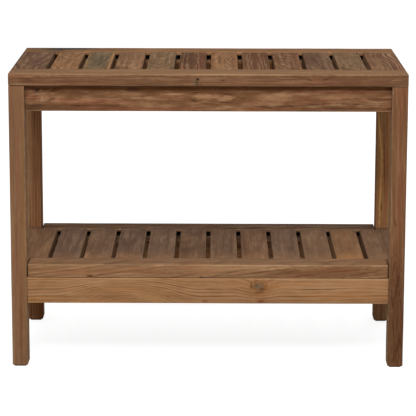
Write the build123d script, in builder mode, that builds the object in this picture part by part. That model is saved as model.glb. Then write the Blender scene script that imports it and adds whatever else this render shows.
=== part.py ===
from build123d import *
import os

# Bathroom side table in reclaimed teak: a slatted top and a slatted shelf on four straight legs.
# X runs along the length, Y from the front to the rear, Z up. The origin is on the floor,
# under the middle of the top.

# Overall size, in millimetres
overall_length = 600
overall_depth = 300
overall_height = 455

# Boards of the top and of the shelf
top_thickness = 19
shelf_thickness = 21
shelf_height = 161
top_rail_width = 54
shelf_rail_width = 45
slat_width = 42
slat_gap = 7
least_end_board_width = 45
board_edge_radius = 1.5
slat_edge_radius = 0.8

# Legs
leg_width = 24
leg_depth = 34
leg_edge_radius = 1.5
foot_chamfer = 3

# Aprons under the top and under the shelf
apron_thickness = 18
upper_apron_height = 40
lower_apron_height = 40
upper_apron_recess = 12
lower_apron_recess = 3
side_apron_recess = 3
shelf_rail_recess = 4
apron_edge_radius = 1

# Tongues of the slats and end boards, in the grooves of the rails
tongue_length = 8.5
tongue_thickness = 7
groove_upper_lip = 5

# Tenons of the aprons, in the mortises of the legs
tenon_length = 12
tenon_thickness = 8
tenon_shoulder = 3
tenon_spacing = 3

# Dowels between the legs and the top
dowel_diameter = 8
dowel_length = 26
dowel_wall = 4

# Wood screws, driven up through the aprons in deep counterbores
screw_diameter = 4
screw_length = 33
screw_grip = 21
screw_head_diameter = 8
screw_head_height = 3
screw_point_length = 5
screw_slot_width = 1.2
screw_spacing = 150
screws_per_long_apron = 4

# Clearances
joint_clearance = 0.5
fit_clearance = 0.1
rail_end_clearance = 1.2
counterbore_clearance = 0.5

# Places worked out from the sizes above
half_length = overall_length / 2
half_depth = overall_depth / 2
leg_inner_x = half_length - leg_width
leg_top = overall_height - top_thickness
shelf_underside = shelf_height - shelf_thickness
slat_pitch = slat_width + slat_gap
slat_count = int((overall_length - 2 * least_end_board_width - slat_gap) // slat_pitch)
slats_length = slat_count * slat_pitch + slat_gap
first_gap_x = -slats_length / 2
end_board_width = half_length - slats_length / 2
groove_depth = tongue_length + joint_clearance
groove_height = tongue_thickness + 2 * fit_clearance
mortise_depth = tenon_length + joint_clearance
dowel_hole_radius = dowel_diameter / 2 + fit_clearance / 2
dowel_hole_depth = dowel_length / 2 + joint_clearance
screw_hole_radius = screw_diameter / 2 + fit_clearance / 2
screw_hole_depth = screw_length - screw_grip + joint_clearance
shelf_rail_half_length = leg_inner_x - rail_end_clearance

SIDES = {"left": -1, "right": 1}
ENDS = {"front": -1, "rear": 1}


# Finish of one piece: its label and its file
def save(piece, name):
    piece.part.label = name
    export_step(piece.part, f"parts/{name}.step")


# A block between two limits on each axis, added to the piece being built or cut from it
def block(x_limits, y_limits, z_limits, mode=Mode.ADD):
    x_low, x_high = sorted(x_limits)
    y_low, y_high = sorted(y_limits)
    z_low, z_high = sorted(z_limits)
    with Locations(((x_low + x_high) / 2, (y_low + y_high) / 2, (z_low + z_high) / 2)):
        Box(x_high - x_low, y_high - y_low, z_high - z_low, mode=mode)


# Where a face lies, counted inwards from the outside of the table
def inward_x(side, distance):
    return side * (half_length - distance)


def inward_y(end, distance):
    return end * (half_depth - distance)


# Height limits of the tenons on an apron: the long aprons have theirs above those of the
# side aprons, so that two tenons can enter one leg at right angles
def tenon_heights(apron_top, apron_height):
    height = (apron_height - 2 * tenon_shoulder - tenon_spacing) / 2
    upper = (apron_top - tenon_shoulder - height, apron_top - tenon_shoulder)
    lower = (upper[0] - tenon_spacing - height, upper[0] - tenon_spacing)
    return upper, lower


# Limits across the thickness of a tenon, counted inwards like the apron's recess
def tenon_across(recess):
    margin = (apron_thickness - tenon_thickness) / 2
    return recess + margin, recess + margin + tenon_thickness


# Top edge, height and recess of the long aprons at each level
APRON_LEVELS = {
    "upper": (leg_top, upper_apron_height, upper_apron_recess),
    "lower": (shelf_underside, lower_apron_height, lower_apron_recess),
}


# Places of the screws along a long apron, and of the one at the middle of a side apron
def long_screw_points(end, recess):
    first = -(screws_per_long_apron - 1) * screw_spacing / 2
    y = inward_y(end, recess + apron_thickness / 2)
    return [(first + i * screw_spacing, y) for i in range(screws_per_long_apron)]


def side_screw_point(side):
    return inward_x(side, side_apron_recess + apron_thickness / 2), 0


# A blind hole from a level face: upwards into the wood above it, or downwards below it
def hole_from(face_z, point, radius, depth, upwards=True):
    from_face = Align.MIN if upwards else Align.MAX
    with Locations((*point, face_z)):
        Cylinder(
            radius,
            depth,
            align=(Align.CENTER, Align.CENTER, from_face),
            mode=Mode.SUBTRACT,
        )


# Pilot holes up into a board that lies on the aprons
def pilot_holes(points, underside):
    for point in points:
        hole_from(underside, point, screw_hole_radius, screw_hole_depth)


# Clearance holes up through an apron, each with a deep counterbore from below
def screw_holes(points, apron_top, apron_height):
    for x, y in points:
        with Locations(Location((x, y, apron_top - apron_height), (180, 0, 0))):
            CounterBoreHole(
                screw_hole_radius,
                (screw_head_diameter + counterbore_clearance) / 2,
                apron_height - screw_grip,
                depth=apron_height,
            )


# Legs: straight posts with eased edges and a chamfered foot
def make_leg(side, end, name):
    outer_x = inward_x(side, 0)
    inner_x = inward_x(side, leg_width)
    outer_y = inward_y(end, 0)
    inner_y = inward_y(end, leg_depth)
    with BuildPart() as leg:
        with BuildSketch(Plane.XY):
            with Locations(((outer_x + inner_x) / 2, (outer_y + inner_y) / 2)):
                Rectangle(leg_width, leg_depth)
        extrude(amount=leg_top)
        chamfer(leg.faces().sort_by(Axis.Z)[0].edges(), foot_chamfer)
        fillet(leg.edges().filter_by(Axis.Z), leg_edge_radius)
        for apron_top, apron_height, recess in APRON_LEVELS.values():
            long_heights, side_heights = tenon_heights(apron_top, apron_height)
            long_limits = [inward_y(end, d) for d in tenon_across(recess)]
            side_limits = [inward_x(side, d) for d in tenon_across(side_apron_recess)]
            mortise_end_x = inward_x(side, leg_width - mortise_depth)
            mortise_end_y = inward_y(end, leg_depth - mortise_depth)
            block((inner_x, mortise_end_x), long_limits, long_heights, Mode.SUBTRACT)
            block(side_limits, (inner_y, mortise_end_y), side_heights, Mode.SUBTRACT)
        hole_from(leg_top, dowel_point(side, end), dowel_hole_radius, dowel_hole_depth, False)
    save(leg, name)


# The dowel stands in the outer half of the leg, clear of both tenons
def dowel_point(side, end):
    return inward_x(side, leg_width / 2), inward_y(end, dowel_wall + dowel_diameter / 2)


# Long apron: runs between two legs, with a tenon at each end
def make_long_apron(end, level, name):
    apron_top, apron_height, recess = APRON_LEVELS[level]
    y_limits = (inward_y(end, recess), inward_y(end, recess + apron_thickness))
    with BuildPart() as apron:
        block((-leg_inner_x, leg_inner_x), y_limits, (apron_top - apron_height, apron_top))
        fillet(apron.edges().filter_by(Axis.X).group_by(Axis.Z)[0], apron_edge_radius)
        tenon_x = leg_inner_x + tenon_length
        tenon_y = [inward_y(end, d) for d in tenon_across(recess)]
        block((-tenon_x, tenon_x), tenon_y, tenon_heights(apron_top, apron_height)[0])
        screw_holes(long_screw_points(end, recess), apron_top, apron_height)
    save(apron, name)


# Side apron: runs from a front leg to the rear leg behind it
def make_side_apron(side, level, name):
    apron_top, apron_height, _ = APRON_LEVELS[level]
    x_limits = (
        inward_x(side, side_apron_recess),
        inward_x(side, side_apron_recess + apron_thickness),
    )
    y_limits = (inward_y(-1, leg_depth), inward_y(1, leg_depth))
    with BuildPart() as apron:
        block(x_limits, y_limits, (apron_top - apron_height, apron_top))
        fillet(apron.edges().filter_by(Axis.Y).group_by(Axis.Z)[0], apron_edge_radius)
        tenon_x = [inward_x(side, d) for d in tenon_across(side_apron_recess)]
        tenon_y = (y_limits[0] - tenon_length, y_limits[1] + tenon_length)
        block(tenon_x, tenon_y, tenon_heights(apron_top, apron_height)[1])
        screw_holes([side_screw_point(side)], apron_top, apron_height)
    save(apron, name)


# Rail of the top or shelf: its inner edge has a groove along the whole length
def make_rail(end, edges, board, half_rail, apron_recess, dowel_sides, name):
    outer_y, inner_y = edges
    surface, thickness = board
    groove_top = surface - groove_upper_lip + fit_clearance
    groove_end = inner_y + end * groove_depth
    with BuildPart() as rail:
        with BuildSketch(Plane.YZ.offset(-half_rail)):
            with Locations(((outer_y + inner_y) / 2, surface - thickness / 2)):
                Rectangle(abs(outer_y - inner_y), thickness)
            with Locations(((inner_y + groove_end) / 2, groove_top - groove_height / 2)):
                Rectangle(groove_depth, groove_height, mode=Mode.SUBTRACT)
        extrude(amount=2 * half_rail)
        outer_edges = rail.edges().filter_by(Axis.X).group_by(Axis.Y)[0 if end < 0 else -1]
        fillet(outer_edges, board_edge_radius)
        top_end_edges = rail.faces().sort_by(Axis.Z)[-1].edges().filter_by(Axis.Y)
        fillet(top_end_edges, slat_edge_radius)
        pilot_holes(long_screw_points(end, apron_recess), surface - thickness)
        for side in dowel_sides:
            point = dowel_point(side, end)
            hole_from(surface - thickness, point, dowel_hole_radius, dowel_hole_depth)
    save(rail, name)


# Slat or end board: its tongues fill the groove's height and stop just short of its bottom
def make_crossboard(x_limits, rails_between, board, name, screw_points=()):
    front_y, rear_y = rails_between
    surface, thickness = board
    x_low, x_high = sorted(x_limits)
    middle_y = (front_y + rear_y) / 2
    tongue_middle = surface - groove_upper_lip - tongue_thickness / 2
    with BuildPart() as crossboard:
        with BuildSketch(Plane.YZ.offset(x_low)):
            with Locations((middle_y, surface - thickness / 2)):
                Rectangle(rear_y - front_y, thickness)
            with Locations((middle_y, tongue_middle)):
                Rectangle(rear_y - front_y + 2 * tongue_length, tongue_thickness)
        extrude(amount=x_high - x_low)
        long_edges = crossboard.edges().filter_by(Axis.Y)
        fillet(long_edges.group_by(Axis.Z)[-1], slat_edge_radius)
        fillet(long_edges.group_by(Axis.Z)[0], slat_edge_radius)
        pilot_holes(screw_points, surface - thickness)
    save(crossboard, name)


# End board of the shelf: its outer strip reaches to the legs, its inner part lies between
# the rails and has the tongues
def make_shelf_end_board(side, rails_between, name):
    front_y, rear_y = rails_between
    outer_x = inward_x(side, 0)
    leg_x = inward_x(side, leg_width)
    rail_x = side * shelf_rail_half_length
    inner_x = inward_x(side, end_board_width)
    strip_front = inward_y(-1, leg_depth + joint_clearance)
    strip_rear = inward_y(1, leg_depth + joint_clearance)
    surface = shelf_height
    tongue_z = (surface - groove_upper_lip - tongue_thickness, surface - groove_upper_lip)
    with BuildPart() as end_board:
        with BuildSketch(Plane.XY.offset(shelf_underside)):
            with Locations(((outer_x + leg_x) / 2, (strip_front + strip_rear) / 2)):
                Rectangle(abs(outer_x - leg_x), strip_rear - strip_front)
            with Locations(((outer_x + inner_x) / 2, (front_y + rear_y) / 2)):
                Rectangle(abs(outer_x - inner_x), rear_y - front_y)
        extrude(amount=shelf_thickness)
        long_edges = end_board.edges().filter_by(Axis.Y)
        outermost = long_edges.group_by(Axis.X)[0 if side < 0 else -1]
        innermost = long_edges.group_by(Axis.X)[-1 if side < 0 else 0]
        fillet(outermost, board_edge_radius)
        fillet(innermost, slat_edge_radius)
        block((rail_x, inner_x), (front_y - tongue_length, rear_y + tongue_length), tongue_z)
        pilot_holes([side_screw_point(side)], shelf_underside)
    save(end_board, name)


# Dowels that join the tops of the legs to the top's rails
def make_dowels(name):
    with BuildPart() as dowels:
        for side in SIDES.values():
            for end in ENDS.values():
                with Locations((*dowel_point(side, end), leg_top)):
                    Cylinder(dowel_diameter / 2, dowel_length)
        chamfer(dowels.edges().filter_by(GeomType.CIRCLE), joint_clearance)
    save(dowels, name)


# Screws of one level: a slotted pan head in the counterbore, a shank and a point
def make_screws(level, name):
    apron_top, _, recess = APRON_LEVELS[level]
    points = [point for end in ENDS.values() for point in long_screw_points(end, recess)]
    points += [side_screw_point(side) for side in SIDES.values()]
    seat = apron_top - screw_grip
    shank_length = screw_length - screw_point_length
    upwards = (Align.CENTER, Align.CENTER, Align.MIN)
    with BuildPart() as screws:
        for x, y in points:
            with Locations((x, y, seat - screw_head_height)):
                Cylinder(screw_head_diameter / 2, screw_head_height, align=upwards)
                Box(
                    screw_head_diameter,
                    screw_slot_width,
                    screw_head_height / 2,
                    align=upwards,
                    mode=Mode.SUBTRACT,
                )
            with Locations((x, y, seat)):
                Cylinder(screw_diameter / 2, shank_length, align=upwards)
            with Locations((x, y, seat + shank_length)):
                Cone(screw_diameter / 2, screw_diameter / 8, screw_point_length, align=upwards)
    save(screws, name)


os.makedirs("parts", exist_ok=True)

# Legs and aprons
for side_name, side in SIDES.items():
    for end_name, end in ENDS.items():
        make_leg(side, end, f"leg_{end_name}_{side_name}")
for level in APRON_LEVELS:
    for end_name, end in ENDS.items():
        make_long_apron(end, level, f"apron_{level}_{end_name}")
    for side_name, side in SIDES.items():
        make_side_apron(side, level, f"apron_{level}_{side_name}")

# Top: two full-length rails, with the end boards and slats between them
top_board = (overall_height, top_thickness)
top_rails_between = [inward_y(end, top_rail_width) for end in ENDS.values()]
for (end_name, end), inner_y in zip(ENDS.items(), top_rails_between):
    make_rail(
        end,
        (inner_y + end * top_rail_width, inner_y),
        top_board,
        half_length,
        upper_apron_recess,
        SIDES.values(),
        f"top_rail_{end_name}",
    )
for side_name, side in SIDES.items():
    make_crossboard(
        (inward_x(side, 0), inward_x(side, end_board_width)),
        top_rails_between,
        top_board,
        f"top_end_board_{side_name}",
        [side_screw_point(side)],
    )

# Shelf: two rails between the legs, with the end boards and slats between them
shelf_board = (shelf_height, shelf_thickness)
shelf_rail_inner = shelf_rail_recess + shelf_rail_width
shelf_rails_between = [inward_y(end, shelf_rail_inner) for end in ENDS.values()]
for (end_name, end), inner_y in zip(ENDS.items(), shelf_rails_between):
    make_rail(
        end,
        (inner_y + end * shelf_rail_width, inner_y),
        shelf_board,
        shelf_rail_half_length,
        lower_apron_recess,
        (),
        f"shelf_rail_{end_name}",
    )
for side_name, side in SIDES.items():
    make_shelf_end_board(side, shelf_rails_between, f"shelf_end_board_{side_name}")

# Slats of both panels, numbered from the left
for number in range(slat_count):
    slat_x = first_gap_x + slat_gap + number * slat_pitch
    slat_limits = (slat_x, slat_x + slat_width)
    make_crossboard(slat_limits, top_rails_between, top_board, f"top_slat_{number + 1:02d}")
    make_crossboard(slat_limits, shelf_rails_between, shelf_board, f"shelf_slat_{number + 1:02d}")

# Hidden fasteners
make_dowels("leg_dowels")
make_screws("upper", "top_screws")
make_screws("lower", "shelf_screws")
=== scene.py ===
"""Bathroom side table in reclaimed teak: a slatted top and a slatted shelf on four legs.

Every board is modelled anew over its solid in the frame, with worn edges and its joints cut,
and gets timber of its own: growth rings round a pith, fibres, drifting colour and knots.
"""

import logging
import math
from dataclasses import dataclass
from enum import Enum
from typing import Callable, Sequence

import bpy
from mathutils import Matrix, Vector


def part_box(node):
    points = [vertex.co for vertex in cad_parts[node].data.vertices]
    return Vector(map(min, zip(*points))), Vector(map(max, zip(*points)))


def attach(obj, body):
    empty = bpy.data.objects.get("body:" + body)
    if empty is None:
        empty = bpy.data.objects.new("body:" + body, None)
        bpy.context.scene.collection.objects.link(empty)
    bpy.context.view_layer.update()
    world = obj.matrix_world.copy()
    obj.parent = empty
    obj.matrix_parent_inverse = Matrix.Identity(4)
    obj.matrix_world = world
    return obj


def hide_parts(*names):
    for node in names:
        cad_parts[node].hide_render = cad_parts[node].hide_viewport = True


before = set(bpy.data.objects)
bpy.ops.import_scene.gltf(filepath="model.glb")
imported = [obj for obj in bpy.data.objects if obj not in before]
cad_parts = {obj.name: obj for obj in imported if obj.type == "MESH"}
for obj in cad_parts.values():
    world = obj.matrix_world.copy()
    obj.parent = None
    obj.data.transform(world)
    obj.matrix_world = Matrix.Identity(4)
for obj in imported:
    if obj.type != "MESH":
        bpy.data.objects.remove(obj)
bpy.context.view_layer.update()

LOG = logging.getLogger("side_table")
MM = 0.001
BODY = "root"

Tree = bpy.types.NodeTree
Socket = bpy.types.NodeSocket
Colour = tuple[float, float, float, float]


# Colours and nodes


def linear(hex_colour: str) -> Colour:
    """Turns an sRGB hex colour into linear values.

    Args:
        hex_colour: Colour such as "#8a6a4b".

    Returns:
        Red, green, blue and alpha, as a shader socket takes them.
    """
    parts = [int(hex_colour[i:i + 2], 16) / 255 for i in (1, 3, 5)]
    red, green, blue = (
        part / 12.92 if part <= 0.04045 else ((part + 0.055) / 1.055) ** 2.4 for part in parts
    )
    return red, green, blue, 1.0


def add_node(
    tree: Tree, kind: str, inputs: dict[str | int, object] | None = None, **settings: object
) -> bpy.types.Node:
    """Adds a node with its settings, values and links.

    Args:
        tree: Node tree that gets the node.
        kind: Type of the node, such as "ShaderNodeMath".
        inputs: Socket name or number to a value, or to the output socket that feeds it.
        **settings: Properties of the node itself.

    Returns:
        The new node.
    """
    node = tree.nodes.new(kind)
    for name, value in settings.items():
        setattr(node, name, value)
    for key, value in (inputs or {}).items():
        socket = node.inputs[key]
        if isinstance(value, Socket):
            tree.links.new(value, socket)
        else:
            socket.default_value = value
    return node


def blend(first: str, second: str, share: float) -> Colour:
    """Mixes two hex colours.

    Args:
        first: First colour.
        second: Second colour.
        share: Share of the second colour.

    Returns:
        The mixed colour in linear values.
    """
    pair = zip(linear(first), linear(second))
    red, green, blue, alpha = (one + (other - one) * share for one, other in pair)
    return red, green, blue, alpha


# Wood and finishes


class Lay(Enum):
    """How a stick lies: its directions along the grain, across it and out of its show face."""

    ALONG = ((1, 0, 0), (0, 1, 0), (0, 0, 1))
    CROSSWISE = ((0, 1, 0), (-1, 0, 0), (0, 0, 1))
    ON_EDGE_ALONG = ((1, 0, 0), (0, 0, 1), (0, -1, 0))
    ON_EDGE_CROSSWISE = ((0, 1, 0), (0, 0, 1), (1, 0, 0))
    UPRIGHT = ((0, 0, 1), (-1, 0, 0), (0, -1, 0))

    def turn(self) -> Matrix:
        """Gives the turn from the frame's axes to the stick's own."""
        return Matrix(self.value)

    def run(self) -> int:
        """Gives the number of the frame's axis that the grain follows."""
        return [abs(part) for part in self.value[0]].index(1)


@dataclass(frozen=True)
class Tone:
    """Colours of one stick of old teak: its body, and the hue of its broad streaks."""

    body: str
    drift: str


class Teak(Enum):
    """The sticks of reclaimed teak that the table is made of, named for their colour."""

    FAWN = Tone("#9e734f", "#aa7545")
    GOLDEN = Tone("#9c6f4c", "#a26844")
    APRICOT = Tone("#8e6849", "#8f6242")
    HONEY = Tone("#896344", "#8d603d")
    ROSE = Tone("#81614a", "#866348")
    SADDLE = Tone("#815f44", "#855b41")
    DRIFTWOOD = Tone("#785b48", "#775d4b")
    OLIVE = Tone("#7b5d42", "#765f45")
    TAN = Tone("#7b5943", "#805b41")
    DUSK = Tone("#745743", "#765944")
    RUSSET = Tone("#7a5439", "#805039")
    ASH_BROWN = Tone("#6d5242", "#6c5445")
    COCOA = Tone("#725038", "#6a4531")
    PLUM = Tone("#6c4f3b", "#6a503e")
    CHESTNUT = Tone("#6a4730", "#623e2a")
    UMBER = Tone("#62432d", "#673d29")


@dataclass(frozen=True)
class Grain:
    """How a stick was cut from its log, in millimetres.

    Attributes:
        ring: Width of a growth ring.
        pith_across: Where the pith lies across the stick's width.
        pith_deep: Where the pith lies out of the show face, the stick's middle being nothing.
        lean_across: Drift of the pith across the width, per millimetre of length.
        lean_deep: Its drift in depth, which makes arched figure.
        wander: How far the rings stray from circles.
        contrast: Strength of the rings, 1 being common.
        streaks: Strength of the fibres, 1 being common.
        clouds: Strength of the blotches, 1 being common.
        patina: Share of grey weathering, from 0 to 1.
    """

    ring: float = 5.0
    pith_across: float = 10.0
    pith_deep: float = -60.0
    lean_across: float = 0.02
    lean_deep: float = 0.06
    wander: float = 7.0
    contrast: float = 1.0
    streaks: float = 1.0
    clouds: float = 1.0
    patina: float = 0.0


@dataclass(frozen=True)
class Mark:
    """A knot, nail hole, stain or patch of colour, some of them painted light and painted shade:
    an ellipsoid, in millimetres.

    Attributes:
        place: Centre along the grain, across it and out of the show face, from the middle.
        reach: Half sizes along the same three directions.
        colour: Colour at its heart.
        strength: Share of that colour there.
        tilt: Turns about the three directions, in degrees.
        pull: How far it pushes the growth rings aside.
        halo: Strength of the warm ring round it.
        fade: Distances, as shares of the reach, between which it fades out.
    """

    place: tuple[float, float, float]
    reach: tuple[float, float, float]
    colour: str = "#33211a"
    strength: float = 0.85
    tilt: tuple[float, float, float] = (0.0, 0.0, 0.0)
    pull: float = 0.0
    halo: float = 0.0
    fade: tuple[float, float] = (0.35, 1.15)


@dataclass(frozen=True)
class Timber:
    """Everything that makes a stick's wood its own.

    Attributes:
        tone: Its colours.
        grain: How it was cut.
        marks: Its marks, each of which lies over those before it.
    """

    tone: Teak
    grain: Grain = Grain()
    marks: tuple[Mark, ...] = ()


@dataclass(frozen=True)
class WearAndHighlight:
    """How a stick's arrises are paler: worn, with a painted highlight on the eased edge.

    Attributes:
        pale: How much paler the wood is there, from 0 to 1.
        reach: How far the paler wood reaches from the arris, in millimetres.
        sides_only: Whether it is the sides that are paler, where no weather reached them.
    """

    pale: float = 0.3
    reach: float = 2.6
    sides_only: bool = False


@dataclass(frozen=True)
class ReclaimedTeak:
    """Reclaimed teak, sanded and left unpolished: matt brown with fine dark pores.

    To the eye it is a plain matt surface, where soft rings, brown streaks, blotches and old
    nail marks do the work, with paler arrises, worn and with a painted highlight, and no gloss.
    Some of its marks are painted light and painted shade.

    Attributes:
        name: Name of the solid that the stick stands for.
        timber: The stick's wood.
        seed: Number that makes its patterns its own.
        half: Half sizes along the grain, across it and out of the show face, in millimetres.
        wear: How its arrises are paler, from wear and a painted highlight.
    """

    name: str
    timber: Timber
    seed: int
    half: Vector
    wear: WearAndHighlight

    # Lengths of the patterns along the grain and across it, in millimetres. Teak's pores are
    # about 0.2 mm wide, so they are drawn as the 1 mm streaks that show from a step away.
    FIBRE = (70.0, 1.8)
    PORE = (22.0, 0.9)
    BAND = (230.0, 5.5)
    BLOTCH = (34.0, 9.0)
    CLOUD = (120.0, 22.0)
    RIPPLE = (55.0, 13.0)
    WANDER = (260.0, 60.0)
    FAINTNESS = (90.0, 14.0)
    DRIFT = (170.0, 11.0)
    WEATHER = (70.0, 16.0)
    HANDLING = (80.0, 30.0)
    RAGGED = (9.0, 3.5)
    SEED_STEP = 37.0
    # Darkness across one ring, from its early wood to its late wood
    RING_PROFILE = ((0.0, 0.3), (0.16, 0.02), (0.6, 0.12), (0.88, 1.0), (1.0, 0.4))
    # The ripple of the rings, as a share of their wander
    RIPPLE_SHARE = 0.6
    # How far a mark pushes the rings aside, where its halo lies, and how frayed its edge is,
    # as shares of its reach
    PULL_REACH = 3.2
    HALO_SPAN = (0.8, 2.4)
    FRAY = 1.6
    # Height of the relief in millimetres, and the matt surface
    RELIEF = 0.4
    ROUGHNESS = 0.82
    IOR = 1.5
    SPECULAR = 0.02
    DARK = "#28150b"
    LIGHT = "#d8b187"
    PATINA = "#6b5c48"
    HALO = "#cf8a58"

    def pattern(
        self, tree: Tree, place: Socket, size: tuple[float, float], shift: float,
        detail: float = 2.0, roughness: float = 0.5,
    ) -> Socket:
        """Adds a noise that is drawn out along the grain.

        Args:
            tree: The material's nodes.
            place: Place in the stick, in millimetres.
            size: Length of the pattern along the grain and across it, in millimetres.
            shift: Offset that makes this pattern differ from the others.
            detail: Octaves of the noise.
            roughness: Strength of the finer octaves.

        Returns:
            A value from 0 to 1.
        """
        along, across = size
        offset = self.seed * self.SEED_STEP + shift
        placed = add_node(
            tree, "ShaderNodeMapping",
            {"Vector": place, "Location": (offset, offset / 3, offset / 7),
             "Scale": (1 / along, 1 / across, 1 / across)},
        )
        noise = add_node(
            tree, "ShaderNodeTexNoise",
            {"Vector": placed.outputs[0], "Scale": 1.0, "Detail": detail, "Roughness": roughness},
        )
        return noise.outputs["Fac"]

    @staticmethod
    def varied(
        tree: Tree, base: Socket | float, pattern: Socket | float, amount: float,
        middle: float = 0.5,
    ) -> Socket:
        """Lets a pattern push a value up and down.

        Args:
            tree: The material's nodes.
            base: The value that is varied.
            pattern: The pattern that varies it.
            amount: Change of the value from the pattern's 0 to its 1.
            middle: Where the pattern changes nothing.

        Returns:
            The varied value.
        """
        centred = add_node(tree, "ShaderNodeMath", {0: pattern, 1: middle}, operation="SUBTRACT")
        total = add_node(
            tree, "ShaderNodeMath", {0: centred.outputs[0], 1: amount, 2: base},
            operation="MULTIPLY_ADD",
        )
        return total.outputs[0]

    @staticmethod
    def stick_place(tree: Tree, middle: Vector, lay: Lay) -> Socket:
        """Turns a place in the frame into one in the stick.

        Args:
            tree: The material's nodes.
            middle: The stick's middle, in metres.
            lay: How the stick lies.

        Returns:
            The place along the grain, across it and out of the show face, in millimetres.
        """
        turn = lay.turn()
        return add_node(
            tree, "ShaderNodeMapping",
            {"Vector": add_node(tree, "ShaderNodeTexCoord").outputs["Object"],
             "Location": tuple(-(turn @ middle) / MM), "Rotation": tuple(turn.to_euler()),
             "Scale": (1 / MM,) * 3},
        ).outputs[0]

    def mark_distances(self, tree: Tree, place: Socket) -> list[Socket]:
        """Works out how far a place is from each mark, 1 being the mark's edge.

        Args:
            tree: The material's nodes.
            place: Place in the stick, in millimetres.

        Returns:
            The distances as shares of the marks' reach.
        """
        distances = []
        for mark in self.timber.marks:
            tilt = tuple(math.radians(angle) for angle in mark.tilt)
            local = add_node(
                tree, "ShaderNodeMapping",
                {"Vector": place, "Location": mark.place, "Rotation": tilt, "Scale": mark.reach},
                vector_type="TEXTURE",
            )
            distance = add_node(
                tree, "ShaderNodeVectorMath", {0: local.outputs[0]}, operation="LENGTH"
            )
            distances.append(distance.outputs["Value"])
        return distances

    def pith_distance(self, tree: Tree, place: Socket, reaches: Sequence[Socket]) -> Socket:
        """Works out the distance from the log's pith, astray as in a real log.

        Args:
            tree: The material's nodes.
            place: Place in the stick, in millimetres.
            reaches: Distance from each mark, because a knot pushes the rings aside.

        Returns:
            The distance in millimetres.
        """
        grain = self.timber.grain
        offsets = []
        for lean, offset, (across, deep) in (
            (grain.lean_across, grain.pith_across, (1, 0)),
            (grain.lean_deep, grain.pith_deep, (0, 1)),
        ):
            slope = add_node(
                tree, "ShaderNodeVectorMath", {0: place, 1: (-lean, across, deep)},
                operation="DOT_PRODUCT",
            )
            away = add_node(
                tree, "ShaderNodeMath", {0: slope.outputs["Value"], 1: offset},
                operation="SUBTRACT",
            )
            offsets.append(away.outputs[0])
        both = add_node(tree, "ShaderNodeCombineXYZ", {0: offsets[0], 1: offsets[1]})
        distance = add_node(
            tree, "ShaderNodeVectorMath", {0: both.outputs[0]}, operation="LENGTH"
        ).outputs["Value"]
        wander = self.pattern(tree, place, self.WANDER, 5.0)
        ripple = self.pattern(tree, place, self.RIPPLE, 11.0, detail=3.0)
        distance = self.varied(tree, distance, wander, 2 * grain.wander)
        distance = self.varied(tree, distance, ripple, self.RIPPLE_SHARE * grain.wander)
        for mark, reach in zip(self.timber.marks, reaches):
            if mark.pull:
                pushed = add_node(
                    tree, "ShaderNodeMapRange",
                    {"Value": reach, "From Min": 0.0, "From Max": self.PULL_REACH,
                     "To Min": mark.pull, "To Max": 0.0},
                    interpolation_type="SMOOTHSTEP",
                ).outputs["Result"]
                distance = add_node(
                    tree, "ShaderNodeMath", {0: distance, 1: pushed}, operation="ADD"
                ).outputs[0]
        return distance

    def rings(self, tree: Tree, place: Socket, distance: Socket) -> tuple[Socket, Socket]:
        """Draws the growth rings, of which some are faint, and all are faint in places.

        Args:
            tree: The material's nodes.
            place: Place in the stick, in millimetres.
            distance: Distance from the pith, in millimetres.

        Returns:
            The darkness of the ring's line, and a value that drifts from ring to ring.
        """
        phase = add_node(
            tree, "ShaderNodeMath", {0: distance, 1: self.timber.grain.ring}, operation="DIVIDE"
        ).outputs[0]
        saw = add_node(tree, "ShaderNodeMath", {0: phase}, operation="FRACT").outputs[0]
        profile = add_node(tree, "ShaderNodeFloatCurve", {"Value": saw})
        points = profile.mapping.curves[0].points
        first, *between, last = self.RING_PROFILE
        points[0].location, points[1].location = first, last
        for at, darkness in between:
            points.new(at, darkness)
        profile.mapping.update()
        season = add_node(
            tree, "ShaderNodeTexNoise", {"W": phase, "Scale": 0.55, "Detail": 2.0},
            noise_dimensions="1D",
        ).outputs["Fac"]
        faintness = self.pattern(tree, place, self.FAINTNESS, 67.0)
        line = profile.outputs[0]
        # Each value, its range that counts, and the shares of the line that it leaves there
        for source, (start, end), (least, most) in (
            (season, (0.38, 0.68), (0.15, 1.0)),
            (faintness, (0.32, 0.68), (0.35, 1.3)),
        ):
            share = add_node(
                tree, "ShaderNodeMapRange",
                {"Value": source, "From Min": start, "From Max": end, "To Min": least,
                 "To Max": most},
                interpolation_type="SMOOTHSTEP",
            ).outputs["Result"]
            line = add_node(
                tree, "ShaderNodeMath", {0: line, 1: share}, operation="MULTIPLY"
            ).outputs[0]
        return line, season

    def heartwood(
        self, tree: Tree, place: Socket, line: Socket, season: Socket, fibre: Socket, pore: Socket
    ) -> Socket:
        """Colours the wood itself: rings, fibres, blotches and broad streaks of another hue.

        Args:
            tree: The material's nodes.
            place: Place in the stick, in millimetres.
            line: Darkness of the ring's line.
            season: Value that drifts from ring to ring.
            fibre: Pattern of the fibres.
            pore: Pattern of the pores.

        Returns:
            The colour.
        """
        tone = self.timber.tone.value
        grain = self.timber.grain
        band = self.pattern(tree, place, self.BAND, 3.0, detail=3.0, roughness=0.6)
        blotch = self.pattern(tree, place, self.BLOTCH, 71.0, detail=4.0, roughness=0.65)
        cloud = self.pattern(tree, place, self.CLOUD, 23.0)
        value = self.varied(tree, 0.5, line, -0.5 * grain.contrast, middle=0.12)
        # Each pattern, and how much lighter its 1 is than its 0
        for layer, amount in (
            (season, 0.45 * grain.contrast),
            (fibre, 0.6 * grain.streaks),
            (pore, 0.35 * grain.streaks),
            (band, 0.7 * grain.streaks),
            (blotch, 0.75 * grain.clouds),
            (cloud, 0.5 * grain.clouds),
        ):
            value = self.varied(tree, value, layer, amount)

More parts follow.
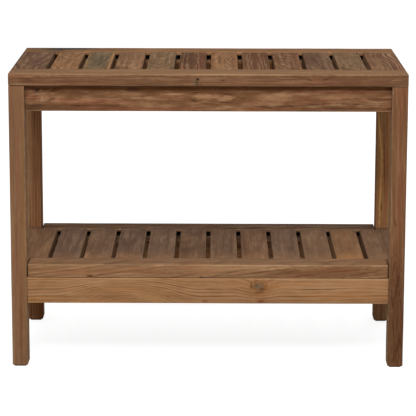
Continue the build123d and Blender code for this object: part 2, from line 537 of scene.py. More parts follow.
        ramp = add_node(tree, "ShaderNodeValToRGB", {"Fac": value})
        stops = ramp.color_ramp.elements
        stops[0].position, stops[0].color = 0.0, blend(tone.body, self.DARK, 0.72)
        stops[1].position, stops[1].color = 1.0, blend(tone.body, self.LIGHT, 0.55)
        stops.new(0.5).color = linear(tone.body)
        colour = ramp.outputs["Color"]

        drift = self.pattern(tree, place, self.DRIFT, 41.0)
        share = add_node(
            tree, "ShaderNodeMapRange",
            {"Value": drift, "From Min": 0.44, "From Max": 0.66, "To Min": 0.0, "To Max": 0.55},
            interpolation_type="SMOOTHSTEP",
        ).outputs["Result"]
        tinted = add_node(
            tree, "ShaderNodeMix", {0: 1.0, 6: colour, 7: linear(tone.drift)},
            data_type="RGBA", blend_type="COLOR",
        ).outputs[2]
        return add_node(
            tree, "ShaderNodeMix", {0: share, 6: colour, 7: tinted}, data_type="RGBA"
        ).outputs[2]

    def weathered(self, tree: Tree, place: Socket, colour: Socket) -> Socket:
        """Greys the wood unevenly.

        Args:
            tree: The material's nodes.
            place: Place in the stick, in millimetres.
            colour: Colour of the wood.

        Returns:
            The colour with its patina.
        """
        patina = self.timber.grain.patina
        weather = self.pattern(tree, place, self.WEATHER, 53.0, detail=3.0)
        share = add_node(
            tree, "ShaderNodeMapRange",
            {"Value": weather, "From Min": 0.3, "From Max": 0.7, "To Min": 0.25 * patina,
             "To Max": 0.9 * patina},
            interpolation_type="SMOOTHSTEP",
        ).outputs["Result"]
        return add_node(
            tree, "ShaderNodeMix", {0: share, 6: colour, 7: linear(self.PATINA)},
            data_type="RGBA",
        ).outputs[2]

    def paled_by_wear_and_highlight(self, tree: Tree, place: Socket, colour: Socket) -> Socket:
        """Makes the wood paler along the arrises: wear, with a painted highlight on the eased
        edge.

        Args:
            tree: The material's nodes.
            place: Place in the stick, in millimetres.
            colour: Colour of the wood.

        Returns:
            The colour, unchanged a few millimetres from the arris.
        """
        # Wear and painted highlight: paler wood within a few millimetres of the arrises
        folded = add_node(tree, "ShaderNodeVectorMath", {0: place}, operation="ABSOLUTE")
        inside = add_node(
            tree, "ShaderNodeVectorMath",
            {0: tuple(self.half), 1: folded.outputs[0]}, operation="SUBTRACT",
        )
        away = add_node(
            tree, "ShaderNodeVectorMath",
            {0: inside.outputs[0], 1: (0, 1, 0 if self.wear.sides_only else 1)},
            operation="DOT_PRODUCT",
        ).outputs["Value"]
        handling = self.pattern(tree, place, self.HANDLING, 83.0)
        uneven = self.varied(tree, away, handling, self.wear.reach)
        share = add_node(
            tree, "ShaderNodeMapRange",
            {"Value": uneven, "From Min": 0.15 * self.wear.reach, "From Max": self.wear.reach,
             "To Min": self.wear.pale, "To Max": 0.0},
            interpolation_type="SMOOTHSTEP",
        ).outputs["Result"]
        return add_node(
            tree, "ShaderNodeMix", {0: share, 6: colour, 7: linear(self.LIGHT)},
            data_type="RGBA",
        ).outputs[2]

    def marked(
        self, tree: Tree, place: Socket, colour: Socket, reaches: Sequence[Socket]
    ) -> tuple[Socket, Socket | float]:
        """Lays the marks over the wood, with frayed edges.

        Args:
            tree: The material's nodes.
            place: Place in the stick, in millimetres.
            colour: Colour of the wood.
            reaches: Distance from each mark.

        Returns:
            The colour, and how deep a place lies in a mark, from 0 to 1.
        """
        ragged = self.pattern(tree, place, self.RAGGED, 29.0, detail=3.0)
        depth: Socket | float = 0.0
        for mark, reach in zip(self.timber.marks, reaches):
            reach = self.varied(tree, reach, ragged, self.FRAY)
            if mark.halo:
                ring = add_node(
                    tree, "ShaderNodeMapRange",
                    {"Value": reach, "From Min": self.HALO_SPAN[0],
                     "From Max": self.HALO_SPAN[1], "To Min": mark.halo, "To Max": 0.0},
                    interpolation_type="SMOOTHSTEP",
                ).outputs["Result"]
                warm = add_node(
                    tree, "ShaderNodeMix", {0: 1.0, 6: colour, 7: linear(self.HALO)},
                    data_type="RGBA", blend_type="MULTIPLY",
                ).outputs[2]
                colour = add_node(
                    tree, "ShaderNodeMix", {0: ring, 6: colour, 7: warm}, data_type="RGBA"
                ).outputs[2]
            if mark.strength:
                heart = add_node(
                    tree, "ShaderNodeMapRange",
                    {"Value": reach, "From Min": mark.fade[0], "From Max": mark.fade[1],
                     "To Min": mark.strength, "To Max": 0.0},
                    interpolation_type="SMOOTHSTEP",
                ).outputs["Result"]
                colour = add_node(
                    tree, "ShaderNodeMix", {0: heart, 6: colour, 7: linear(mark.colour)},
                    data_type="RGBA",
                ).outputs[2]
                depth = add_node(
                    tree, "ShaderNodeMath", {0: heart, 1: depth}, operation="MAXIMUM"
                ).outputs[0]
        return colour, depth

    def build(self, middle: Vector, lay: Lay) -> bpy.types.Material:
        """Makes the material for one stick.

        Args:
            middle: The stick's middle, in metres.
            lay: How the stick lies.

        Returns:
            The new material.
        """
        material = bpy.data.materials.new(f"reclaimed_teak_{self.name}")
        material.use_nodes = True
        tree = material.node_tree
        tree.nodes.clear()

        place = self.stick_place(tree, middle, lay)
        reaches = self.mark_distances(tree, place)
        line, season = self.rings(tree, place, self.pith_distance(tree, place, reaches))
        fibre = self.pattern(tree, place, self.FIBRE, 2.0, detail=3.0, roughness=0.7)
        pore = self.pattern(tree, place, self.PORE, 17.0)
        colour = self.heartwood(tree, place, line, season, fibre, pore)
        if self.timber.grain.patina:
            colour = self.weathered(tree, place, colour)
        colour = self.paled_by_wear_and_highlight(tree, place, colour)
        colour, depth = self.marked(tree, place, colour, reaches)

        height = self.varied(tree, 0.0, line, -0.4, middle=0.0)
        height = self.varied(tree, height, fibre, 0.9)
        height = self.varied(tree, height, pore, 0.7)
        if self.timber.marks:
            height = self.varied(tree, height, depth, -0.5, middle=0.0)
        bump = add_node(
            tree, "ShaderNodeBump",
            {"Height": height, "Strength": 0.6, "Distance": self.RELIEF * MM},
        )
        dullness = self.varied(tree, self.ROUGHNESS, fibre, -0.2)
        surface = add_node(
            tree, "ShaderNodeBsdfPrincipled",
            {"Base Color": colour, "Roughness": dullness, "IOR": self.IOR,
             "Specular IOR Level": self.SPECULAR, "Normal": bump.outputs[0]},
        )
        add_node(tree, "ShaderNodeOutputMaterial", {"Surface": surface.outputs[0]})
        return material


@dataclass(frozen=True)
class PlainFinish:
    """A finish with one soft pattern between two colours; the grooves' painted shade uses it too.

    Attributes:
        name: Name of the material.
        dark: One colour.
        light: The other colour.
        size: Size of the pattern along x, y and z, in millimetres.
        roughness: Lowest and highest roughness.
        metallic: 1 for a metal.
    """

    name: str
    dark: str
    light: str
    size: tuple[float, float, float]
    roughness: tuple[float, float]
    metallic: float = 0.0

    # The part of the noise that goes from one colour to the other
    SPAN = (0.3, 0.7)

    def build(self) -> bpy.types.Material:
        """Makes the material, the first time that it is asked for.

        Returns:
            The material, which all its pieces share.
        """
        if self.name in bpy.data.materials:
            return bpy.data.materials[self.name]
        material = bpy.data.materials.new(self.name)
        material.use_nodes = True
        tree = material.node_tree
        tree.nodes.clear()
        place = add_node(
            tree, "ShaderNodeMapping",
            {"Vector": add_node(tree, "ShaderNodeTexCoord").outputs["Object"],
             "Scale": tuple(1 / (side * MM) for side in self.size)},
        ).outputs[0]
        noise = add_node(
            tree, "ShaderNodeTexNoise", {"Vector": place, "Scale": 1.0, "Detail": 3.0}
        ).outputs["Fac"]
        ramp = add_node(tree, "ShaderNodeValToRGB", {"Fac": noise})
        stops = ramp.color_ramp.elements
        low, high = self.SPAN
        stops[0].position, stops[0].color = low, linear(self.dark)
        stops[1].position, stops[1].color = high, linear(self.light)
        dullness = add_node(
            tree, "ShaderNodeMapRange",
            {"Value": noise, "From Min": low, "From Max": high, "To Min": self.roughness[0],
             "To Max": self.roughness[1]},
        ).outputs["Result"]
        bump = add_node(
            tree, "ShaderNodeBump", {"Height": noise, "Strength": 0.3, "Distance": 0.1 * MM}
        )
        surface = add_node(
            tree, "ShaderNodeBsdfPrincipled",
            {"Base Color": ramp.outputs["Color"], "Metallic": self.metallic,
             "Roughness": dullness, "Normal": bump.outputs[0]},
        )
        add_node(tree, "ShaderNodeOutputMaterial", {"Surface": surface.outputs[0]})
        return material


# Zinc-plated steel: a pale satin metal, slightly clouded
ZINC_STEEL = PlainFinish("zinc_plated_steel", "#a9a69c", "#c8c5bb", (3, 3, 3), (0.28, 0.5), 1.0)
# Turned beech: pale, close and plain, with short flecks
BEECH = PlainFinish("turned_beech", "#a67c50", "#c69d70", (1.2, 1.2, 9), (0.55, 0.7))
# Painted shade inside the grooves: near-black faces that stand in for the shade deep in the joint
GROOVE_SHADE_BLACK = PlainFinish("painted_groove_shade", "#040201", "#0c0704", (20, 2, 2), (0.85, 0.95))


# Modelling by hand


def select_only(piece: bpy.types.Object | None) -> None:
    """Selects one piece in object mode and makes it active, or only deselects everything.

    Args:
        piece: The piece, or None where nothing is to be selected.
    """
    if bpy.context.object and bpy.context.object.mode != "OBJECT":
        bpy.ops.object.mode_set(mode="OBJECT")
    bpy.ops.object.select_all(action="DESELECT")
    if piece:
        piece.select_set(True)
        bpy.context.view_layer.objects.active = piece


def add_block(name: str, low: Vector, high: Vector) -> bpy.types.Object:
    """Adds a block between two corners, its place kept in its mesh.

    Args:
        name: Name of the new object.
        low: Its lowest corner, in metres.
        high: Its highest corner, in metres.

    Returns:
        The new object, selected and active.
    """
    select_only(None)
    bpy.ops.mesh.primitive_cube_add(size=1, location=(low + high) / 2)
    block = bpy.context.object
    block.name = name
    block.data.name = name
    block.scale = high - low
    bpy.ops.object.transform_apply(location=True, rotation=True, scale=True)
    return block


def pick_edges(piece: bpy.types.Object, wanted: Callable[[Vector, Vector], bool]) -> None:
    """Selects the edges that a test picks, and leaves the piece in edit mode.

    Args:
        piece: The active object.
        wanted: Test of an edge's two ends.
    """
    bpy.ops.object.mode_set(mode="EDIT")
    bpy.ops.mesh.select_mode(type="EDGE")
    bpy.ops.mesh.select_all(action="DESELECT")
    bpy.ops.object.mode_set(mode="OBJECT")
    points = [vertex.co for vertex in piece.data.vertices]
    for edge in piece.data.edges:
        edge.select = wanted(points[edge.vertices[0]], points[edge.vertices[1]])
    bpy.ops.object.mode_set(mode="EDIT")


class Joint(Enum):
    """What is done to a piece with another object, and the boolean that does it."""

    CUT = "DIFFERENCE"
    JOIN = "UNION"


def use_tool(piece: bpy.types.Object, tool: bpy.types.Object, joint: Joint) -> None:
    """Cuts a piece with a tool, or joins the tool to it, and removes the tool.

    Args:
        piece: The piece to change.
        tool: The object that cuts it or joins it.
        joint: Which of the two is done.
    """
    select_only(piece)
    change = piece.modifiers.new("joint", "BOOLEAN")
    change.operation = joint.value
    change.solver = "EXACT"
    change.object = tool
    bpy.ops.object.modifier_apply(modifier=change.name)
    bpy.data.objects.remove(tool)


def twin(
    source: bpy.types.Object, name: str, mirrored: Sequence[int] = (),
    shift: tuple[float, float, float] = (0.0, 0.0, 0.0),
) -> bpy.types.Object:
    """Copies a piece with its own mesh, mirrored about the middle of the table or moved.

    Args:
        source: The piece to copy.
        name: Name of the copy.
        mirrored: Numbers of the axes along which it is mirrored.
        shift: How far it is moved, in metres.

    Returns:
        The copy, with its place in its mesh.
    """
    select_only(source)
    bpy.ops.object.duplicate()
    copy = bpy.context.object
    copy.name = name
    copy.data.name = name
    copy.scale = [-1 if axis in mirrored else 1 for axis in range(3)]
    copy.location = shift
    bpy.ops.object.transform_apply(location=True, rotation=True, scale=True)
    if len(mirrored) % 2:  # an odd number of mirrorings turns the faces inside out
        bpy.ops.object.mode_set(mode="EDIT")
        bpy.ops.mesh.select_all(action="SELECT")
        bpy.ops.mesh.normals_make_consistent(inside=False)
        bpy.ops.object.mode_set(mode="OBJECT")
    return copy


@dataclass
class Stick:
    """One stick of timber: a block with eased arrises, over a solid of the frame.

    Attributes:
        node: Name of the solid that it stands for.
        slot: Material slot of the record; not used.
        lay: How it lies.
        timber: Its wood.
        low: Lowest corner of the stick without its joints, in metres.
        high: Its highest corner.
        arris: Radius to which its long edges are eased, in millimetres.
        seed: Number that makes its wood its own.
        wear: How its arrises are paler, from wear and a painted highlight.
        piece: The object that stands for it, once it is shaped.
    """

    node: str
    slot: str
    lay: Lay
    timber: Timber
    low: Vector
    high: Vector
    arris: float
    seed: int = 1
    wear: WearAndHighlight = WearAndHighlight()
    piece: bpy.types.Object | None = None

    # Distance between the points at which a stick is worn, in millimetres
    STATION = 24.0
    # Name, size and depth of the two kinds of wear, in millimetres
    UNEVENNESS = (("handled", 45.0, 0.3), ("nicked", 9.0, 0.2))
    # Radius to which the ends are eased, as a share of the arris
    END_EASE = 0.5
    # Nearer than this, in metres, two places are the same
    CLOSE = 0.01 * MM
    SMOOTH_ANGLE = math.radians(40)

    def name(self) -> str:
        """Gives the name of the piece."""
        return f"{self.node}_wood"

    def shape(self) -> None:
        """Shapes the block: stations along it, then eased arrises and ends."""
        axis = self.lay.run()
        self.piece = add_block(self.name(), self.low, self.high)

        def along(start: Vector, end: Vector) -> bool:
            """Tells whether an edge runs along the grain."""
            return abs(start[axis] - end[axis]) > self.CLOSE

        def at_end(start: Vector, end: Vector) -> bool:
            """Tells whether an edge lies in one of the two end faces.

            Args:
                start: The edge's first end.
                end: Its other end.

            Returns:
                Whether both ends lie in the same end face.
            """
            return any(
                max(abs(start[axis] - limit), abs(end[axis] - limit)) < self.CLOSE
                for limit in (self.low[axis], self.high[axis])
            )

        cuts = max(2, round((self.high - self.low)[axis] / (self.STATION * MM)))
        pick_edges(self.piece, along)
        bpy.ops.mesh.subdivide(number_cuts=cuts)
        pick_edges(self.piece, along)
        bpy.ops.mesh.bevel(offset=self.arris * MM, segments=3, profile=0.5)
        pick_edges(self.piece, at_end)
        bpy.ops.mesh.bevel(offset=self.END_EASE * self.arris * MM, segments=2, profile=0.5)
        bpy.ops.object.mode_set(mode="OBJECT")

    def wear_down(self) -> None:
        """Wears the surface down a little, unevenly, so that no arris is dead straight."""
        for name, size, depth in self.UNEVENNESS:
            texture = bpy.data.textures.new(f"{self.node}_{name}", "CLOUDS")
            texture.noise_scale = size * MM
            worn = self.piece.modifiers.new(name, "DISPLACE")
            worn.texture = texture
            worn.texture_coords = "LOCAL"
            worn.mid_level = 1.0
            worn.strength = depth * MM
            select_only(self.piece)
            bpy.ops.object.modifier_apply(modifier=worn.name)
            bpy.data.textures.remove(texture)

    def paint_groove_shade(self, inside: Callable[[Vector], bool]) -> None:
        """Paints the faces inside a joint near-black, as painted shade deep in the joint.

        Args:
            inside: Test of a face's middle.
        """
        select_only(self.piece)
        self.piece.data.materials.append(GROOVE_SHADE_BLACK.build())
        self.piece.active_material_index = 1
        bpy.ops.object.mode_set(mode="EDIT")
        bpy.ops.mesh.select_mode(type="FACE")
        bpy.ops.mesh.select_all(action="DESELECT")
        bpy.ops.object.mode_set(mode="OBJECT")
        for face in self.piece.data.polygons:
            face.select = inside(face.center)
        bpy.ops.object.mode_set(mode="EDIT")
        bpy.ops.object.material_slot_assign()
        bpy.ops.object.mode_set(mode="OBJECT")

    def dress(self) -> None:
        """Wears the piece, smooths its shading, gives it its wood and puts it in the frame."""
        self.wear_down()
        select_only(self.piece)
        bpy.ops.object.shade_smooth_by_angle(angle=self.SMOOTH_ANGLE)
        size = (self.high - self.low) / MM / 2
        half = Vector(abs(part) for part in self.lay.turn() @ size)
        wood = ReclaimedTeak(self.node, self.timber, self.seed, half, self.wear)
        self.piece.data.materials.clear()
        self.piece.data.materials.append(wood.build((self.low + self.high) / 2, self.lay))
        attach(self.piece, BODY)
        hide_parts(self.node)
        LOG.info("%s: %d faces", self.piece.name, len(self.piece.data.polygons))


@dataclass(frozen=True)
class Joinery:
    """Sizes that the joints share, in millimetres.

    Attributes:
        tongue_thickness: Thickness of the tongues on slats and end boards.
        groove_upper_lip: Wood between a rail's top face and its groove.
        tongue_inset: How much narrower a tongue is than its board, on each side.
        tenon_thickness: Thickness of the aprons' tenons.
        tenon_shoulder: Wood above and below an apron's tenons.
        tenon_spacing: Wood between the tenons of two aprons that meet in a leg.
        screw_grip: Wood between a screw's head and the apron's top edge.
        counterbore: Width of the hole for a screw's head.
        screw_spacing: Distance between the screws of an apron.
        fit: Room on each side of a tongue in its groove.
        play: Room at the end of a tongue or a tenon.
    """

    tongue_thickness: float = 7.0
    groove_upper_lip: float = 5.0
    tongue_inset: float = 0.6
    tenon_thickness: float = 8.0
    tenon_shoulder: float = 3.0
    tenon_spacing: float = 3.0
    screw_grip: float = 21.0
    counterbore: float = 8.5
    screw_spacing: float = 150.0
    fit: float = 0.1
    play: float = 0.5

    def tenon_band(self, top: float, bottom: float, upper: bool) -> tuple[float, float]:
        """Gives the height limits of an apron's tenon.

        Args:
            top: Top edge of the apron, in metres.
            bottom: Its bottom edge.
            upper: Whether this is the long apron's tenon, above the side apron's.

        Returns:
            Lowest and highest point of the tenon, in metres.
        """
        shoulder = self.tenon_shoulder * MM
        height = (top - bottom - 2 * shoulder - self.tenon_spacing * MM) / 2
        if upper:
            return top - shoulder - height, top - shoulder
        return bottom + shoulder, bottom + shoulder + height

    def tenon_side(self, low: float, high: float) -> tuple[float, float]:
        """Gives a tenon's limits across the apron's thickness.

        Args:
            low: Place of the apron's one face, in metres.
            high: Place of its other face.

        Returns:
            Lowest and highest point of the tenon, in metres.
        """
        middle = (low + high) / 2
        half = self.tenon_thickness * MM / 2
        return middle - half, middle + half


JOINERY = Joinery()


# The table's parts


class Level(Enum):
    """The two levels that have aprons and a slatted panel."""

    UPPER = "upper"
    LOWER = "lower"


class Side(Enum):
    """The four sides of the table."""

    FRONT = "front"
    REAR = "rear"
    LEFT = "left"
    RIGHT = "right"


def apron_node(level: Level, side: Side) -> str:
    """Gives the name of an apron's solid."""
    return f"apron_{level.value}_{side.value}"


def apron_box(level: Level, side: Side) -> tuple[Vector, Vector]:
    """Gives the box of an apron without its tenons.

    Args:
        level: Level of the apron.
        side: Side of the table on which it stands.

    Returns:
        Lowest and highest corner, in metres.
    """
    low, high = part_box(apron_node(level, side))
    leg_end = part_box("leg_front_left")[1]
    axis = 0 if side in (Side.FRONT, Side.REAR) else 1
    low[axis] = leg_end[axis]
    high[axis] = -leg_end[axis]
    return low, high


@dataclass
class Legs:
    """Four straight posts with chamfered feet and a mortise for each tenon.

    Attributes:
        arris: Radius to which the long edges are eased, in millimetres.
        foot_chamfer: Size of the chamfer round the foot, in millimetres.
        slot: Material slot of the record; not used.
        wear: How the arrises are paler, from wear and a painted highlight.
    """

    arris: float = 1.8
    foot_chamfer: float = 3.0
    slot: str = "leg_teak"
    wear: WearAndHighlight = WearAndHighlight(pale=0.12)

    def timbers(self) -> dict[str, Timber]:
        """Chooses the wood of the legs.

        Returns:
            The wood of each leg, by the name of its solid.
        """
        plain = Grain(ring=4.2, pith_across=-30, pith_deep=-90, lean_across=0.002,
                      lean_deep=0.004, wander=3, contrast=0.5, streaks=0.7, clouds=0.25)
        slanting = Grain(ring=3.6, pith_across=34, pith_deep=-40, lean_across=0.02,
                         lean_deep=-0.02, wander=4, contrast=0.4, streaks=0.75, clouds=0.35)
        striped = Grain(ring=4.6, pith_across=70, pith_deep=4, lean_across=0.0,
                        lean_deep=0.0, wander=2.5, contrast=1.1, streaks=0.9, clouds=0.3)
        weathered = "#bd9876"
        front_left = (
            Mark((60, -1, 17), (170, 3.6, 8), "#85503a", 0.5, fade=(0.0, 1.3)),
            Mark((0, -8, 17), (260, 4.0, 9), "#91663a", 0.4, fade=(0.0, 1.3)),
            Mark((-150, -2, 17), (90, 6, 10), "#6a4029", 0.35, fade=(0.0, 1.2)),
            Mark((90, 6, 17), (70, 0.7, 8), "#4e3420", 0.45),
            Mark((-20, 3, 17), (60, 0.7, 8), "#4e3420", 0.4),
            Mark((0, -13.5, 0), (900, 2.0, 60), weathered, 0.6, fade=(0.9, 1.15)),
        )
        streaks = (
            Mark((along, across, 17), (length, width, 9), "#3f2416", strength, tilt=(0, 0, turn))
            for along, across, length, width, strength, turn in (
                (-62, 5, 30, 1.2, 0.55, -9),
                (-95, 1, 34, 1.3, 0.6, -10),
                (-112, -6, 22, 1.2, 0.5, 10),
                (-160, 3, 30, 1.0, 0.5, 6),
                (-182, -4, 24, 1.6, 0.6, -12),
                (10, 4, 9, 2.0, 0.4, 14),
                (-78, -2, 26, 1.0, 0.5, 7),
                (-104, 7, 20, 1.1, 0.55, 4),
                (-140, -2, 22, 1.2, 0.5, -5),
                (-172, -7, 18, 1.6, 0.5, 9),
                (-196, 2, 14, 1.4, 0.45, -4),
            )
        )
        front_right = (
            Mark((80, -1, 17), (130, 8, 12), "#86553a", 0.3, fade=(0.0, 1.2)),
            Mark((-150, 0, 17), (130, 40, 60), "#54341f", 0.6, fade=(0.2, 1.2)),
            *streaks,
            Mark((0, 13.5, 0), (900, 2.0, 60), weathered, 0.6, fade=(0.9, 1.15)),
        )
        # Painted shade: a darker, warmer patch at the foot of the rear left leg, where the shelf
        # shades it
        painted_foot_shade = (Mark((-190, 0, 17), (70, 30, 30), "#6a3008", 0.45, fade=(0.2, 1.2)),)
        # Partly painted light: real golden streaks, made brighter than the wood to stand in for
        # the light that the top keeps from the rear right leg
        golden = (
            Mark((60, 2, 17), (230, 20, 7), "#c9945f", 0.32, fade=(0.5, 1.2)),
            Mark((92, 6.4, 17), (62, 2.0, 8), "#e7b068", 0.8, tilt=(0, 0, 5), fade=(0.2, 1.2)),
            Mark((14, 4.4, 17), (96, 2.4, 8), "#e7b068", 0.65, tilt=(0, 0, -1),
                 fade=(0.2, 1.2)),
            Mark((56, -0.4, 17), (76, 1.0, 8), "#4a2c1a", 0.6, tilt=(0, 0, 1.5)),
            Mark((40, -4.5, 17), (260, 2.4, 8), "#9a583a", 0.5, fade=(0.2, 1.2)),
            Mark((-22, 3, 17), (12, 1.2, 8), "#3a2618", 0.7),
        )
        return {
            "leg_front_left": Timber(Teak.SADDLE, plain, front_left),
            "leg_front_right": Timber(Teak.RUSSET, slanting, front_right),
            # Painted light: the rear legs get paler wood than the front ones, standing in for the
            # light that the top keeps from them
            "leg_rear_left": Timber(Teak.GOLDEN, striped, painted_foot_shade),
            "leg_rear_right": Timber(Teak.GOLDEN, striped, golden),
        }

    def chamfer_foot(self, leg: Stick) -> None:
        """Chamfers the lower end of a leg, below a ring of edges cut for it.

        Args:
            leg: The leg, shaped as a plain stick.
        """
        select_only(leg.piece)
        bpy.ops.object.mode_set(mode="EDIT")
        bpy.ops.mesh.select_all(action="SELECT")
        bpy.ops.mesh.bisect(
            plane_co=(0, 0, leg.low.z + self.foot_chamfer * MM), plane_no=(0, 0, 1)
        )
        bpy.ops.mesh.select_mode(type="VERT")
        bpy.ops.mesh.select_all(action="DESELECT")
        bpy.ops.object.mode_set(mode="OBJECT")
        eased = leg.low.z + 0.6 * self.arris * MM  # just above the end's own easing
        for vertex in leg.piece.data.vertices:
            vertex.select = vertex.co.z < eased
        bpy.ops.object.mode_set(mode="EDIT")
        middle = (leg.low + leg.high) / 2
        size = leg.high - leg.low
        inset = 2 * self.foot_chamfer * MM
        bpy.ops.transform.resize(
            value=((size.x - inset) / size.x, (size.y - inset) / size.y, 1),
            center_override=(middle.x, middle.y, leg.low.z),
        )
        bpy.ops.object.mode_set(mode="OBJECT")

    def cut_mortises(self, leg: Stick) -> None:
        """Cuts the four mortises that take the aprons' tenons.

        Args:
            leg: The front left leg.
        """
        play = JOINERY.play * MM
        for level in Level:
            for side, across in ((Side.FRONT, 1), (Side.LEFT, 0)):
                low, high = apron_box(level, side)
                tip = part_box(apron_node(level, side))[0]
                along = 1 - across
                start, end = low.copy(), high.copy()
                start.z, end.z = JOINERY.tenon_band(high.z, low.z, side is Side.FRONT)
                start[across], end[across] = JOINERY.tenon_side(low[across], high[across])
                start[along] = tip[along] - play
                end[along] = leg.high[along] + play
                use_tool(leg.piece, add_block("mortise", start, end), Joint.CUT)

    def build(self) -> None:
        """Builds one leg and its three mirrored twins, then dresses all four."""
        legs = [
            Stick(node, self.slot, Lay.UPRIGHT, timber, *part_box(node), arris=self.arris,
                  seed=3 + 6 * number, wear=self.wear)
            for number, (node, timber) in enumerate(self.timbers().items())
        ]
        first = legs[0]
        first.shape()
        self.chamfer_foot(first)
        self.cut_mortises(first)
        for leg in legs[1:]:
            axes = [axis for axis, word in enumerate(("right", "rear")) if word in leg.node]
            leg.piece = twin(first.piece, leg.name(), axes)
        for leg in legs:
            leg.dress()


@dataclass
class Aprons:
    """Eight boards on edge that tie the legs together, under the top and under the shelf.

    Attributes:
        arris: Radius to which the long edges are eased, in millimetres.
        slot: Material slot of the record; not used.
        screw_steps: Places of a long apron's screws, in steps from its middle.
        seed: Number from which those of its boards count.
    """

    arris: float = 1.2
    slot: str = "apron_teak"
    screw_steps: tuple[float, ...] = (-1.5, -0.5, 0.5, 1.5)
    seed: int = 31

    def front_timbers(self) -> dict[Level, Timber]:
        """Chooses the wood of the two front aprons, with their knots.

        Returns:
            The wood of the front apron at each level.
        """
        upper = Grain(ring=7.0, pith_across=2, pith_deep=-30, lean_across=0.006,
                      lean_deep=0.03, wander=14, contrast=1.0, streaks=1.0, clouds=1.5)
        pale, plum, rust = "#a57c5a", "#442a24", "#8a4f37"
        upper_marks = (
            # Painted shade: a warm dark band along the top edge, where the top casts its shadow
            # on the apron
            Mark((0, 16, 9), (700, 5, 7), "#75421e", 0.6, fade=(0.5, 1.1)),
            Mark((-113, 5, 9), (20, 6, 7), pale, 0.45, fade=(0.0, 1.2)),
            Mark((-8, 3, 9), (22, 5, 7), pale, 0.75, tilt=(0, 0, -3), pull=7, fade=(0.3, 1.1)),
            Mark((26, 0, 9), (20, 5, 7), pale, 0.7, tilt=(0, 0, 4), pull=5, fade=(0.3, 1.1)),
            Mark((100, 0, 9), (40, 8, 7), pale, 0.55, fade=(0.1, 1.2)),
            Mark((200, 4, 9), (60, 5, 7), pale, 0.4, fade=(0.0, 1.2)),
            Mark((-90, -9, 9), (60, 5, 7), pale, 0.35, fade=(0.0, 1.2)),
            Mark((-60, -16, 9), (90, 3.5, 7), rust, 0.45, fade=(0.0, 1.2)),
            Mark((60, -16, 9), (60, 3, 7), rust, 0.4, fade=(0.0, 1.2)),
            Mark((24, -6, 9), (26, 1.2, 7), plum, 0.7, tilt=(0, 0, -3)),
            Mark((85, -13, 9), (22, 1.6, 7), plum, 0.7, tilt=(0, 0, -7)),
            Mark((116, -11.5, 9), (20, 1.3, 7), plum, 0.75, tilt=(0, 0, 3)),
            Mark((158, -9, 9), (36, 1.3, 7), plum, 0.7, tilt=(0, 0, 4)),
            Mark((224, -8.5, 9), (40, 1.4, 7), plum, 0.65, tilt=(0, 0, -2)),
            Mark((185, -14, 9), (40, 2.0, 7), plum, 0.45),
            Mark((-114, 13, 9), (14, 4, 7), plum, 0.55),
            Mark((-190, 8, 9), (34, 2.5, 7), plum, 0.4),
            Mark((-150, 1, 9), (26, 1.6, 7), plum, 0.4),
            Mark((-238, -3, 9), (17, 2.0, 7), "#3a241c", 0.6, tilt=(0, 0, 22)),
            Mark((-225, 2, 9), (16, 5, 7), pale, 0.4, fade=(0.0, 1.2)),
            Mark((-262, -13, 9), (15, 6, 20), "#3c2720", 0.6, fade=(0.1, 1.2)),
            Mark((-249, 0, 9), (12, 8, 7), "#a87f5e", 0.6, fade=(0.1, 1.2)),
            Mark((-254, -1, 9), (1.2, 6, 7), "#6b4632", 0.5, tilt=(0, 0, -12)),
            Mark((-246, 1, 9), (1.0, 5, 7), "#6b4632", 0.45, tilt=(0, 0, 16)),
            Mark((-258, 12, 9), (9, 6, 30), "#5b4136", 0.55, pull=4, fade=(0.0, 1.2)),
            Mark((-257, 12, 9), (4, 2.8, 30), "#231b18", 0.85, fade=(0.0, 1.2)),
            Mark((-245, 13, 9), (5, 2.5, 9), "#2f211b", 0.4, fade=(0.0, 1.2)),
        )
        lower = Grain(ring=5.2, pith_across=-64, pith_deep=-18, lean_across=0.008,
                      lean_deep=0.0, wander=5, contrast=0.95, streaks=0.6, clouds=0.6)
        lower_marks = (
            Mark((-122, -24, 9), (37, 22, 60), strength=0.0, pull=-36),
            Mark((-82, -11, 9), (34, 7, 7), "#bd925c", 0.4, tilt=(0, 0, -8), fade=(0.0, 1.2)),
            Mark((-225, -9, 9), (48, 1.3, 7), "#5b4a33", 0.4, tilt=(0, 0, -2)),
            Mark((-5, -16, 9), (5, 2, 9), "#6a3c22", 0.6),
            Mark((80, 3, 9), (26, 17, 20), "#86552c", 0.55, fade=(0.1, 1.3)),
            Mark((78, 7, 9), (13, 10, 30), "#7c4a22", 0.5, pull=9, fade=(0.3, 1.2)),
            Mark((78, 7, 9), (10, 7.5, 30), "#74614b", 0.85, fade=(0.2, 1.1)),
            Mark((74, 10, 9), (3.2, 2.4, 9), "#4f3b28", 0.6, fade=(0.0, 1.2)),
            Mark((83, 3, 9), (6, 2.2, 9), "#2f2218", 0.75, fade=(0.0, 1.2)),
            Mark((66, 9, 9), (2, 6, 9), "#4a321e", 0.75, fade=(0.0, 1.2)),
            Mark((90, 9, 9), (1.6, 5, 9), "#5c3b20", 0.6, tilt=(0, 0, 14), fade=(0.0, 1.2)),
            Mark((76, 16, 9), (9, 1.3, 9), "#6b4324", 0.6, tilt=(0, 0, 8)),
            Mark((80, -2, 9), (9, 1.5, 9), "#5c3b20", 0.65, tilt=(0, 0, 5)),
            Mark((81, -16, 9), (5, 2.4, 9), "#56351f", 0.6, halo=0.3),
            Mark((240, 8, 9), (60, 10, 9), "#b28459", 0.35, fade=(0.0, 1.2)),
            Mark((-190, -19.5, 9), (110, 2.2, 9), "#d2a56f", 0.5, fade=(0.3, 1.1)),
        )
        return {
            Level.UPPER: Timber(Teak.RUSSET, upper, upper_marks),
            Level.LOWER: Timber(Teak.FAWN, lower, lower_marks),
        }

